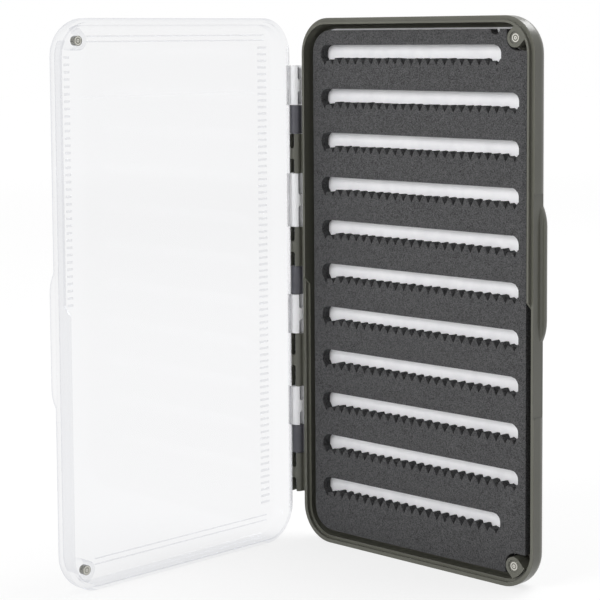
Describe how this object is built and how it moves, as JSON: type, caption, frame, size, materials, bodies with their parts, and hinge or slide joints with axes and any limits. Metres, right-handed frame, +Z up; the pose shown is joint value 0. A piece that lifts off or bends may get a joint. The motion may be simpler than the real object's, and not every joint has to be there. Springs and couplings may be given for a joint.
{
  "type": "slim fly box",
  "caption": "Slim fly box that opens like a book, with a clear lid, an opaque base lined with slotted foam, a long pinned hinge and magnets in the free corners.",
  "frame": {"origin": "middle of the flat strip of the base's lower end face, on which the box stands", "axes": "+Z up along the hinge, +X across the base away from the hinge, +Y out of the back of the base; the base opens toward -Y and the lid, open at a right angle, runs along -Y at the left"},
  "size_m": [0.1146, 0.1146, 0.186],
  "materials": {
    "olive_plastic": "opaque olive-grey moulded plastic, satin",
    "clear_plastic": "water-clear moulded plastic, polished",
    "dark_foam": "fine closed-cell foam, dark grey",
    "white_foam": "smooth white foam sheet",
    "magnet": "nickel plated disc",
    "pin_steel": "drawn steel wire",
    "dark_plastic": "dark bluish-grey plastic tube"
  },
  "bodies": {
    "base": {"base_shell": "olive_plastic", "slit_foam": "dark_foam", "foam_backing": "white_foam", "base_magnet_upper": "magnet", "base_magnet_lower": "magnet", "hinge_pin": "pin_steel", "hinge_sleeve_upper": "dark_plastic", "hinge_sleeve_middle": "dark_plastic", "hinge_sleeve_lower": "dark_plastic"},
    "lid": {"lid_shell": "clear_plastic", "lid_magnet_upper": "magnet", "lid_magnet_lower": "magnet"}
  },
  "joints": [
    {"name": "lid_hinge", "type": "hinge", "parent": "base", "child": "lid", "pos_m": [-0.0545, -0.0017, 0.093], "axis": [0, 0, -1], "range_deg": [-90, 150]}
  ]
}
